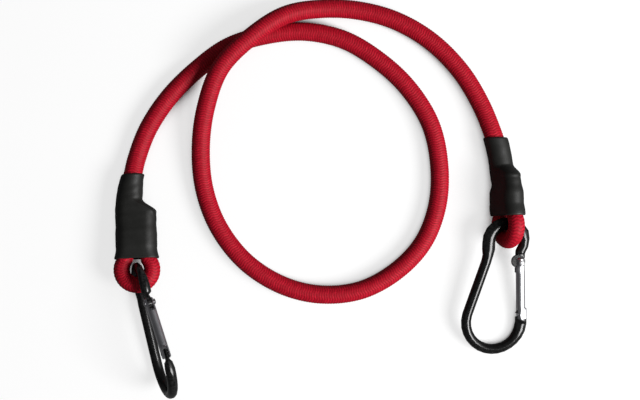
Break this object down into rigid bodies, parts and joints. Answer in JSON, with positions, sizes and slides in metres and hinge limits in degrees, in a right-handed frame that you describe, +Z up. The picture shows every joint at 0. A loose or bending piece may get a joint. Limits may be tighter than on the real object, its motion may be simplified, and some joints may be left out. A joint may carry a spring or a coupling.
{
  "type": "bungee cord",
  "caption": "Elastic cord with a braided sheath, lying in a loose loop; each end is a sleeved eye that holds a pear-shaped snap hook with a sprung gate.",
  "frame": {"origin": "on the table, under the middle of the box round the hooks, eyes and sleeves", "axes": "+Z up from the table, +X from the left end to the right end, +Y from the hooks towards the loop of cord"},
  "size_m": [0.2376, 0.2278, 0.0373],
  "materials": {
    "sheath": "tight braid of fine red yarn",
    "core": "bare natural rubber strands",
    "sleeve": "matte black heat-shrink tube",
    "band": "rolled strip, crimped",
    "hook": "gloss black coat on bent rod",
    "gate": "bright turned rod",
    "steel": "bare steel"
  },
  "bodies": {
    "cord": {"cord_sheath": "sheath", "cord_core": "core", "left_eye_sheath": "sheath", "left_eye_core": "core", "left_crimp_band": "band", "left_sleeve": "sleeve", "right_eye_sheath": "sheath", "right_eye_core": "core", "right_crimp_band": "band", "right_sleeve": "sleeve"},
    "left_hook": {"left_hook_body": "hook"},
    "left_gate": {"left_gate": "gate", "left_pivot_rivet": "steel", "left_latch_pin": "steel", "left_gate_spring": "steel"},
    "left_plunger": {"left_plunger": "steel"},
    "right_hook": {"right_hook_body": "hook"},
    "right_gate": {"right_gate": "gate", "right_pivot_rivet": "steel", "right_latch_pin": "steel", "right_gate_spring": "steel"},
    "right_plunger": {"right_plunger": "steel"}
  },
  "joints": [
    {"name": "left_hook_swing", "type": "hinge", "parent": "cord", "child": "left_hook", "pos_m": [-0.10302, -0.01092, 0.01358], "axis": [-0.9157, -0.2307, 0.3291], "range_deg": [-90, 90]},
    {"name": "left_gate_hinge", "type": "hinge", "parent": "left_hook", "child": "left_gate", "pos_m": [-0.09712, -0.01932, 0.0241], "axis": [0.9157, 0.2307, -0.3291], "range_deg": [0, 40], "stiffness_Nm_per_rad": 0.15, "springref_deg": -28.65},
    {"name": "left_plunger_slide", "type": "slide", "parent": "left_gate", "child": "left_plunger", "axis": [0.3259, -0.9053, 0.2723], "range_m": [0, 0.00095], "deforming": ["left_gate_spring"]},
    {"name": "right_hook_swing", "type": "hinge", "parent": "cord", "child": "right_hook", "pos_m": [0.10544, 0.01452, 0.01156], "axis": [0.1433, -0.137, 0.9801], "range_deg": [-90, 90]},
    {"name": "right_gate_hinge", "type": "hinge", "parent": "right_hook", "child": "right_gate", "pos_m": [0.11362, 0.00264, 0.0087], "axis": [-0.1433, 0.137, -0.9801], "range_deg": [0, 40], "stiffness_Nm_per_rad": 0.15, "springref_deg": -28.65},
    {"name": "right_plunger_slide", "type": "slide", "parent": "right_gate", "child": "right_plunger", "axis": [0.0294, -0.9893, -0.1426], "range_m": [0, 0.00095], "deforming": ["right_gate_spring"]}
  ],
  "couplings": [
    {"joint": "left_plunger_slide", "follows": "left_gate_hinge", "m_per_rad": 0.0013},
    {"joint": "right_plunger_slide", "follows": "right_gate_hinge", "m_per_rad": 0.0013}
  ]
}
